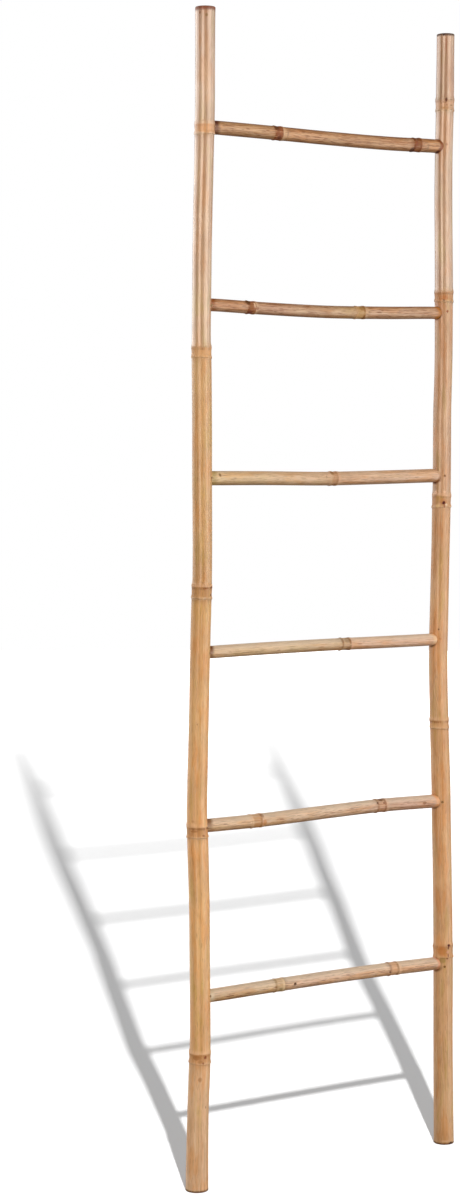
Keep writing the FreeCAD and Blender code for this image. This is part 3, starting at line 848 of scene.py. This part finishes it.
# Painted shade: a dark line along the top and along the underside of each rung, where the round turns away; below zero,
# a painted highlight that makes the upper half paler.
RUNG_EDGE_SHADE = [(0.65, 0.4), (0.45, 0.3), (-0.15, 0.25), (-0.5, 0.2), (-0.5, 0.3), (-0.5, 0.3)]
TONE_RUNG = [
    [(-215, c(214, 164, 117)), (-98, c(220, 170, 121)), (-60, c(214, 160, 113)), (60, c(213, 160, 115)), (150, c(214, 164, 121)), (215, c(216, 168, 123))],
    [(-215, c(210, 160, 120)), (-146, c(212, 164, 128)), (-110, c(208, 159, 128)), (20, c(210, 168, 126)), (60, c(208, 168, 118)), (80, c(208, 162, 126)), (215, c(212, 166, 130))],
    [(-215, c(228, 193, 141)), (-60, c(230, 191, 149)), (10, c(224, 177, 135)), (100, c(230, 186, 149)), (215, c(230, 186, 151))],
    [(-215, c(228, 189, 144)), (-40, c(230, 194, 149)), (30, c(220, 177, 133)), (60, c(230, 183, 149)), (215, c(232, 187, 155))],
    [(-215, c(224, 180, 137)), (-139, c(227, 187, 144)), (-100, c(226, 189, 151)), (60, c(227, 187, 153)), (120, c(224, 175, 144)), (215, c(226, 177, 148))],
    [(-215, c(223, 185, 141)), (-96, c(227, 190, 146)), (-60, c(227, 183, 150)), (100, c(229, 187, 150)), (140, c(229, 180, 136)), (215, c(231, 187, 152))],
]
BANDS_RUNG = [
    [band((BROWN, 0.5), (c(112, 62, 30), 0.95), (c(126, 70, 34), 0.95), (c(150, 90, 50), 0.7), (PALE, 0.45), rag=0.35),
     band((c(120, 72, 36), 0.8), (c(104, 62, 30), 0.95), (c(120, 76, 40), 0.95), (c(110, 68, 34), 0.92), (c(170, 112, 74), 0.5), rag=0.3)],
    [band((c(120, 76, 42), 0.6), (c(112, 66, 32), 0.95), (c(136, 80, 40), 0.95), (c(160, 104, 60), 0.7), (PALE, 0.6), rag=0.3),
     band((PEACH, 0.3), (c(206, 154, 92), 0.6), (c(200, 150, 86), 0.75), (c(134, 86, 44), 0.85), (PALE, 0.5), rag=0.3)],
    [band((PALE, 0.25), (c(176, 122, 74), 0.7), (c(190, 132, 82), 0.7), (c(166, 110, 66), 0.7), (PEACH, 0.35), rag=0.3)],
    [band((OLIVE, 0.25), (c(140, 98, 58), 0.7), (c(186, 142, 96), 0.65), (c(132, 84, 50), 0.75), (c(236, 176, 142), 0.5), rag=0.25)],
    [band((PEACH, 0.3), (PALE, 0.35), (c(204, 140, 78), 0.7), (c(168, 108, 58), 0.6), (PEACH, 0.4), rag=0.4),
     band((c(160, 110, 70), 0.5), (c(150, 98, 60), 0.65), (c(190, 128, 80), 0.65), (c(118, 74, 42), 0.7), (PEACH, 0.4), rag=0.35)],
    [band((OLIVE, 0.3), (c(176, 136, 84), 0.6), (c(204, 160, 104), 0.65), (c(240, 210, 162), 0.6), (c(150, 108, 66), 0.45), rag=0.4),
     band((BROWN, 0.3), (c(150, 98, 58), 0.5), (c(216, 152, 98), 0.65), (c(150, 96, 56), 0.6), (PALE, 0.5), rag=0.35)],
]
MARKS_RUNG = [
    [(39, -96.5, 5.0, 4.6, c(78, 48, 26), 0.88), (0, -95.0, 4.0, 2.6, c(120, 74, 44), 0.6), (-46, -91.8, 4.6, 4.0, c(92, 48, 28), 0.85), (-6, -77.6, 5.0, 1.6, c(142, 92, 64), 0.55),
     (-58, 156.5, 5.0, 4.5, c(52, 24, 12), 0.85), (58, 164.0, 5.0, 7.0, c(82, 50, 28), 0.7), (-27, 185.2, 6.0, 2.2, c(152, 112, 76), 0.6), (9, 163.0, 5.0, 3.0, c(112, 56, 30), 0.6),
     (-66, 207.0, 4.0, 2.8, BLACK, 0.9)],
    [(48, -147.0, 5.4, 5.0, c(72, 50, 24), 0.88), (0, -143.0, 5.0, 3.4, c(138, 90, 52), 0.75), (-52, -143.0, 4.6, 4.6, c(92, 44, 26), 0.8), (22, -136.4, 4.4, 1.5, PALE, 0.75),
     (-9, -131.6, 2.4, 2.8, c(128, 76, 50), 0.75), (40, 62.0, 4.0, 6.0, c(120, 92, 50), 0.5), (-60, 66.0, 3.4, 4.6, c(104, 76, 46), 0.7)],
    [(14, -5.9, 2.6, 1.2, c(150, 104, 70), 0.5), (50, 6.0, 4.0, 3.0, c(120, 90, 56), 0.5), (-62, 10.0, 3.0, 5.0, c(104, 72, 44), 0.6), (28, -198.0, 3.0, 2.4, c(108, 84, 46), 0.75)],
    [(-1, 26.5, 6.0, 1.3, c(128, 92, 58), 0.5), (-50, 38.0, 4.4, 6.0, c(110, 76, 50), 0.55), (40, 36.0, 5.0, 6.0, c(140, 106, 68), 0.5), (-20, -92.0, 1.0, 3.6, BROWN, 0.5)],
    [(-14, -118.0, 4.6, 4.2, c(206, 132, 62), 0.8), (50, -121.0, 4.0, 3.0, c(110, 72, 44), 0.55), (70, 101.6, 4.4, 5.4, c(84, 58, 34), 0.8), (34, 93.2, 1.5, 1.6, DARK, 0.9),
     (28, 105.1, 1.8, 1.9, c(110, 64, 36), 0.75), (-1, 184.0, 2.6, 4.4, c(116, 78, 44), 0.85)],
    [(-40, -88.0, 5.0, 3.4, c(160, 134, 86), 0.65), (1, -62.3, 2.2, 2.8, c(70, 40, 18), 0.97), (-15, 117.9, 1.5, 1.7, c(82, 46, 24), 0.92), (-50, 133.0, 3.0, 1.6, c(110, 70, 42), 0.6)],
]
KNOTS_LEFT = [(29, 903.7, 1.5, 0.35, 15), (32, 892.6, 1.3, 0.3, 15), (2, 536.3, 1.2, 0.3, 15), (-2, 203.4, 1.5, 0.3, 16), (-14, 194.9, 1.2, 0.3, 16)]
KNOTS_RIGHT = [(-30, 1647.6, 1.5, 0.35, 14), (-23, 1022.8, 1.8, 0.6, 14.4), (-3, 322.0, 1.7, 0.55, 15.2), (-7, 305.6, 0.8, 0.3, 15), (-37, 824.3, 1.0, 0.25, 14.7), (11, 1336.4, 1.5, 0.25, 14)]
KNOTS_RUNG = [[], [], [], [], [(34, 93.2, 1.0, 0.25, 10.4), (-1, 184.0, 1.6, 0.2, 10.4)], [(1, -62.3, 1.5, 0.45, 10), (-15, 117.9, 1.1, 0.3, 10)]]


# ------------------------------------------------------------------ pieces
def nail_place(table, nodes, side, angle, z):
    x, y, d = smooth(table, z)
    a = math.radians(angle)
    out = Vector((-side * math.sin(a), -math.cos(a), 0.0))
    r = d / 2 + plain_swell(z, nodes)
    return Vector((x, y, z)) + out * (r + HEAD_PROUD - HEAD_T), out


def nail_cutter(under, out, mats, cells):
    return revolve([(-NAIL_LEN - 0.3, NAIL_R + 0.03), (-0.02, NAIL_R + 0.03), (-0.02, HEAD_R + 0.08), (6.0, HEAD_R + 0.08)], under, out, 28, mats, cells)


joint_x = []
for i in range(6):
    joint_x.append((smooth(POLE_LEFT, RUNGS[i][0][0])[0], smooth(POLE_RIGHT, RUNGS[i][0][4])[0]))

POLES = (
    ("pole_left", -1, POLE_LEFT, NODES_LEFT, NAILS_LEFT, KNOTS_LEFT, TONE_LEFT, GLOSS_LEFT, BANDS_LEFT, MARKS_LEFT, HOLES_LEFT, 11),
    ("pole_right", 1, POLE_RIGHT, NODES_RIGHT, NAILS_RIGHT, KNOTS_RIGHT, TONE_RIGHT, GLOSS_RIGHT, BANDS_RIGHT, MARKS_RIGHT, HOLES_RIGHT, 23),
)
made = []
nails = {}
for name, side, table, nodes, pins, knots, tone, gloss, bands, marks, holes, seed in POLES:
    rung_z = [RUNGS[i][0][0 if side < 0 else 4] for i in range(6)]
    hole_rows = []
    for i in range(6):
        d = RUNGS[i][1][0 if side < 0 else 1]
        top, bottom, wide = holes[i]
        hole_rows.append((rung_z[i], d / 2 + 0.3, -side, top, bottom, wide))
    rims = [(0.0, 1, c(96, 58, 28), 0.85, 3.6), (HEIGHT, -1, c(128, 68, 46) if side < 0 else c(70, 44, 30), 0.9, 6.6 if side < 0 else 4.4)]
    skin = bamboo(name + "_skin", 15.0, 0.0, HEIGHT, nodes, tone, gloss, bands, marks, hole_rows, (), rims, float(seed))
    cut = end_grain(name + "_cut", side)
    mats = [skin, cut]
    cells = Cells(0.868, 0.998, 96)

    def radius(t, table=table):
        return smooth(table, t)[2] / 2

    def centre(t, table=table):
        x, y, _ = smooth(table, t)
        return np.array([x, y, t])

    def place(p, r, th):
        return np.stack([p[0] + r * np.sin(th), p[1] - r * np.cos(th), np.full_like(th, p[2])], 1)

    def bore(a, b, radius=radius):
        count = max(3, int(abs(b - a) / 28.0))
        out = [(a + (b - a) * k / count, radius(a + (b - a) * k / count) - WALL) for k in range(count)]
        toward = 1 if b > a else -1
        out.append((b - toward * 3.0, (radius(b) - WALL) * 0.86))
        out.append((b, (radius(b) - WALL) * 0.45))
        return out

    bores = (bore(0.0, nodes[0][0] - WEB), bore(HEIGHT, nodes[-1][1] + WEB))
    ts = places(0.0, HEIGHT, nodes, rung_z, [HEIGHT * k / 4 for k in (1, 2, 3)], (0.0, 0.12, 0.4, 0.9, 1.7), 0.78)
    shell = culm(POLE_COLUMNS, ts, centre, radius, Relief(nodes, 1.0, seed, knots), place, bores, False, 4, 0.2155, 1.0, cells)
    me = shell.mesh(name, mats)
    drills, recesses = [], []
    for i in range(6):
        r = RUNGS[i][1][0 if side < 0 else 1] / 2 + 0.3
        x = joint_x[i][0 if side < 0 else 1]
        drills.append(revolve([(0.0, r), (30.0, r)], (x + side * HOLE_PAST_AXIS, 0, rung_z[i]), (-side, 0, 0), 48, mats, cells))
        under, out = nail_place(table, nodes, side, pins[i][0], rung_z[i] + pins[i][1])
        recesses.append(nail_cutter(under, out, mats, cells))
        nails[("left" if side < 0 else "right", i)] = (under, out)
    me = carve(me, [drills, recesses], mats)
    ob = finish_mesh(me, name + "_culm")
    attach(ob, "root")
    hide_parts(name)
    made.append(ob)

for i in range(6):
    xl, xr = joint_x[i]
    rows = rung_rows(i, xl, xr)
    nodes = RUNG_NODES[i]
    start, end = rows[0][0], rows[-1][0]
    rl = smooth(POLE_LEFT, RUNGS[i][0][0])[2] / 2 + plain_swell(RUNGS[i][0][0], NODES_LEFT)
    rr = smooth(POLE_RIGHT, RUNGS[i][0][4])[2] / 2 + plain_swell(RUNGS[i][0][4], NODES_RIGHT)
    (wl, kl, al, bl), (wr, kr, ar, br) = COLLARS[i]
    collars = [(xl, 1, rl, wl, kl, al, bl), (xr, -1, rr, wr, kr, ar, br)]
    R = (RUNGS[i][1][0] + RUNGS[i][1][1]) / 4
    gloss = [(start, 0.12, 0.47)]
    skin = bamboo("rung_%d_skin" % (i + 1), R, start, end, nodes, TONE_RUNG[i], gloss, BANDS_RUNG[i], MARKS_RUNG[i], (), collars, (), 40.0 + 9.0 * i, (2.5, 2.1, 1.4, 1.4, 1.7, 1.8)[i], 1.35, RUNG_EDGE_SHADE[i])
    cut = end_grain("rung_%d_cut" % (i + 1), i)
    mats = [skin, cut]
    cells = Cells(0.885, 0.995, 48)

    def radius(t, rows=rows):
        return rung_at(rows, t)[1]

    def centre(t, rows=rows):
        return np.array([t, 0.0, rung_at(rows, t)[0]])

    def place(p, r, th):
        return np.stack([np.full_like(th, p[0]), p[1] - r * np.cos(th), p[2] + r * np.sin(th)], 1)

    deep = 26.0
    bores = (
        [(start + k, radius(start) * (0.5 if k < deep else 0.2)) for k in (0.0, 12.0, deep - 6.0, deep)],
        [(end - k, radius(end) * (0.5 if k < deep else 0.2)) for k in (0.0, 12.0, deep - 6.0, deep)],
    )
    ts = places(start, end, nodes, (), [start + (end - start) * k / 3 for k in (1, 2)], (0.0, 0.5, 1.7), 0.8)
    relief = Relief(nodes, 0.72, 60 + i, KNOTS_RUNG[i], 0.11)
    shell = culm(RUNG_COLUMNS, ts, centre, radius, relief, place, bores, True, 3, 0.2933, 0.7, cells, quiet=((start, 30.0), (end, 30.0)))
    me = shell.mesh("rung_%d" % (i + 1), mats)
    tools = [nail_cutter(*nails[(k, i)], mats, cells) for k in ("left", "right")]
    me = carve(me, [tools], mats)
    ob = finish_mesh(me, "rung_%d_culm" % (i + 1))
    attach(ob, "root")
    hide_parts("rung_%d" % (i + 1))
    made.append(ob)

for (where, i), (under, out) in sorted(nails.items()):
    steel = nail_steel("nail_%s_%d_rusty" % (where, i + 1), (NAIL_TONE_LEFT if where == "left" else NAIL_TONE_RIGHT)[i])
    cells = Cells(0.02, 0.98, 14)
    profile = [(-NAIL_LEN, 0.25), (-NAIL_LEN + 3.0, NAIL_R), (-0.4, NAIL_R), (0.0, NAIL_R + 0.12), (0.02, 1.68), (0.14, 1.86), (0.4, HEAD_R), (0.6, 1.8), (0.76, 1.52), (0.87, 1.0), (0.9, 0.45)]
    shell = revolve(profile, under, out, 32, [steel], cells, 0, 0.035, i + (20 if where == "left" else 50))
    me = shell.mesh("nail_%s_%d" % (where, i + 1), [steel])
    ob = finish_mesh(me, "nail_%s_%d_forged" % (where, i + 1), 30)
    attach(ob, "root")
    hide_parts("nail_%s_%d" % (where, i + 1))
    made.append(ob)


# ------------------------------------------------------------------ floor
bm = bmesh.new()
bmesh.ops.create_circle(bm, cap_ends=True, radius=9.0, segments=96)
floor_mesh = bpy.data.meshes.new("floor")
bm.to_mesh(floor_mesh)
bm.free()
floor = bpy.data.objects.new("floor", floor_mesh)
floor.location = (0.3, 0.6, -0.0002)
bpy.context.scene.collection.objects.link(floor)
floor.visible_diffuse = False
floor.visible_glossy = False
floor.visible_shadow = False
pale = bpy.data.materials.new("pale_floor")
pale.use_nodes = True
pt = pale.node_tree
pt.nodes.clear()
dif = pt.nodes.new("ShaderNodeBsdfDiffuse")
dif.inputs["Color"].default_value = (0.8, 0.8, 0.8, 1)
emi = pt.nodes.new("ShaderNodeEmission")
emi.inputs["Color"].default_value = (1, 1, 1, 1)
f_co = pt.nodes.new("ShaderNodeTexCoord")
f_far = pt.nodes.new("ShaderNodeVectorMath")
f_far.operation = "LENGTH"
f_lift = pt.nodes.new("ShaderNodeMapRange")
f_lift.interpolation_type = "SMOOTHSTEP"
for key, v in (("From Min", 2.2), ("From Max", 7.0), ("To Min", 0.10), ("To Max", 0.75)):
    f_lift.inputs[key].default_value = v
pt.links.new(f_co.outputs["Object"], f_far.inputs[0])
pt.links.new(f_far.outputs["Value"], f_lift.inputs["Value"])
pt.links.new(f_lift.outputs[0], emi.inputs["Strength"])
add = pt.nodes.new("ShaderNodeAddShader")
pto = pt.nodes.new("ShaderNodeOutputMaterial")
pt.links.new(dif.outputs[0], add.inputs[0])
pt.links.new(emi.outputs[0], add.inputs[1])
pt.links.new(add.outputs[0], pto.inputs[0])
pale.cycles.emission_sampling = "NONE"
floor_mesh.materials.append(pale)


# ------------------------------------------------------------------ light
world = bpy.data.worlds.new("studio")
bpy.context.scene.world = world
world.use_nodes = True
wt = world.node_tree
wt.nodes.clear()


def wnode(kind, **props):
    n = wt.nodes.new(kind)
    for k, v in props.items():
        setattr(n, k, v)
    return n


w_co = wnode("ShaderNodeTexCoord")
w_sep = wnode("ShaderNodeSeparateXYZ")
wt.links.new(w_co.outputs["Generated"], w_sep.inputs[0])


def w_ramp(stops):
    m = wnode("ShaderNodeMath", operation="MULTIPLY_ADD")
    m.inputs[1].default_value = 0.5
    m.inputs[2].default_value = 0.5
    wt.links.new(w_sep.outputs[2], m.inputs[0])
    n = wnode("ShaderNodeValToRGB")
    wt.links.new(m.outputs[0], n.inputs[0])
    while len(n.color_ramp.elements) < len(stops):
        n.color_ramp.elements.new(0.5)
    for e, (p, v) in zip(n.color_ramp.elements, stops):
        e.position = p
        e.color = (v, v, v, 1)
    return n.outputs[0]


soft_sky = w_ramp([(0.0, 0.10), (0.40, 0.40), (0.5, 0.58), (0.62, 0.56), (0.85, 0.36), (1.0, 0.28)])
shine_sky = w_ramp([(0.0, 0.10), (0.36, 0.22), (0.46, 0.85), (0.56, 0.85), (0.68, 0.22), (1.0, 0.12)])
w_path = wnode("ShaderNodeLightPath")
m1 = wnode("ShaderNodeMix", data_type="RGBA")
wt.links.new(w_path.outputs["Is Glossy Ray"], m1.inputs[0])
m1.inputs[6].default_value = (1, 1, 1, 1)
wt.links.new(shine_sky, m1.inputs[7])
m2 = wnode("ShaderNodeMix", data_type="RGBA")
wt.links.new(w_path.outputs["Is Diffuse Ray"], m2.inputs[0])
wt.links.new(m1.outputs[2], m2.inputs[6])
wt.links.new(soft_sky, m2.inputs[7])
w_bg = wnode("ShaderNodeBackground")
wt.links.new(m2.outputs[2], w_bg.inputs["Color"])
w_out = wnode("ShaderNodeOutputWorld")
wt.links.new(w_bg.outputs[0], w_out.inputs[0])

ladder_only = bpy.data.collections.new("ladder_only")
for ob in made:
    ladder_only.objects.link(ob)
floor_only = bpy.data.collections.new("floor_only")
floor_only.objects.link(floor)


def area(name, azimuth, distance, height, wide, tall, radiance, colour, diffuse=True, glossy=True, aim=0.9):
    """A soft panel seen from the ladder at azimuth degrees to the right of the camera."""
    base = math.radians(180 + 33.07)
    a = base + math.radians(azimuth)
    # from the ladder, the camera stands towards (-sin, -cos) of its heading
    d = Vector((math.sin(-azimuth * math.pi / 180 + base), math.cos(-azimuth * math.pi / 180 + base), 0))
    data = bpy.data.lights.new(name, "AREA")
    data.shape = "RECTANGLE"
    data.size, data.size_y = wide, tall
    data.energy = radiance * math.pi * wide * tall
    data.color = colour
    ob = bpy.data.objects.new(name, data)
    ob.location = d * distance + Vector((0, 0, height))
    to = Vector((0, 0, aim)) - ob.location
    ob.rotation_euler = to.to_track_quat("-Z", "Y").to_euler()
    ob.visible_diffuse, ob.visible_glossy, ob.visible_camera = diffuse, glossy, False
    ob.light_linking.receiver_collection = ladder_only
    bpy.context.scene.collection.objects.link(ob)
    return ob


area("fill_right", 42, 3.2, 1.9, 3.2, 1.1, 3.85, (1.0, 0.99, 0.98), True, False)
area("fill_left", -36, 3.2, 1.9, 2.6, 1.0, 2.1, (1.0, 0.99, 0.98), True, False)
area("fill_back", 176, 3.2, 1.7, 3.0, 2.0, 1.5, (1.0, 0.99, 0.98), True, False)
area("strip_right", 46, 3.0, 1.3, 2.0, 4.4, 5.6, (0.97, 0.90, 0.80), False, True)
area("strip_left", -26, 3.0, 1.3, 1.3, 4.4, 7.5, (1.0, 0.88, 0.76), False, True)
area("edge_left_high", -106, 3.0, 2.65, 3.6, 2.7, 4.2, (1.0, 0.97, 0.94), False, True, 2.65)
area("edge_left_low", -118, 3.0, -0.05, 3.2, 2.7, 2.0, (1.0, 0.97, 0.94), False, True, -0.05)
area("haze_right_high", 84, 3.0, 2.65, 3.2, 2.7, 2.6, (0.88, 0.97, 1.0), False, True, 2.65)
area("haze_right_low", 80, 3.0, -0.05, 2.8, 2.7, 5.4, (0.88, 0.97, 1.0), False, True, -0.05)

shade = bpy.data.lights.new("floor_shadow", "AREA")
shade.shape = "RECTANGLE"
shade.size, shade.size_y = 0.07, 0.13
shade.energy = 1.0
shade.use_nodes = True
st = shade.node_tree
fall = st.nodes.new("ShaderNodeLightFalloff")
fall.inputs["Strength"].default_value = 1.0
em = next(n for n in st.nodes if n.type == "EMISSION")
# an even floor: what the slant takes away with distance is given back
st_path = st.nodes.new("ShaderNodeLightPath")
st_even = st.nodes.new("ShaderNodeMath")
st_even.operation = "MULTIPLY"
st_scale = st.nodes.new("ShaderNodeMath")
st_scale.operation = "MULTIPLY"
st_scale.inputs[1].default_value = 1.0 / 2.92
st.links.new(st_path.outputs["Ray Length"], st_scale.inputs[0])
st.links.new(fall.outputs["Constant"], st_even.inputs[0])
st.links.new(st_scale.outputs[0], st_even.inputs[1])
st.links.new(st_even.outputs[0], em.inputs["Strength"])
shade_ob = bpy.data.objects.new("floor_shadow", shade)
shade_ob.location = (-1.79, -3.34, 2.92)
shade_ob.rotation_euler = (Vector((0.3, 0.6, 0.0)) - shade_ob.location).to_track_quat("-Z", "Y").to_euler()
shade_ob.light_linking.receiver_collection = floor_only
shade_ob.visible_camera = False
bpy.context.scene.collection.objects.link(shade_ob)
# strength at one metre, so that the open floor is a little over white
shade.energy = 9.4

cam = bpy.data.cameras.new("camera")
cam.sensor_fit = "VERTICAL"
cam.sensor_height = 36.0
cam.lens = 74.42
cam.clip_end = 100.0
cam_ob = bpy.data.objects.new("camera", cam)
cam_ob.location = (-2.18484, -3.08711, 1.11430)
cam_ob.rotation_euler = (math.radians(90 - 3.592), 0.0, math.radians(-33.074))
bpy.context.scene.collection.objects.link(cam_ob)
bpy.context.scene.camera = cam_ob
bpy.context.scene.view_settings.view_transform = "Standard"
bpy.context.scene.view_settings.look = "None"


bpy.context.view_layer.update()
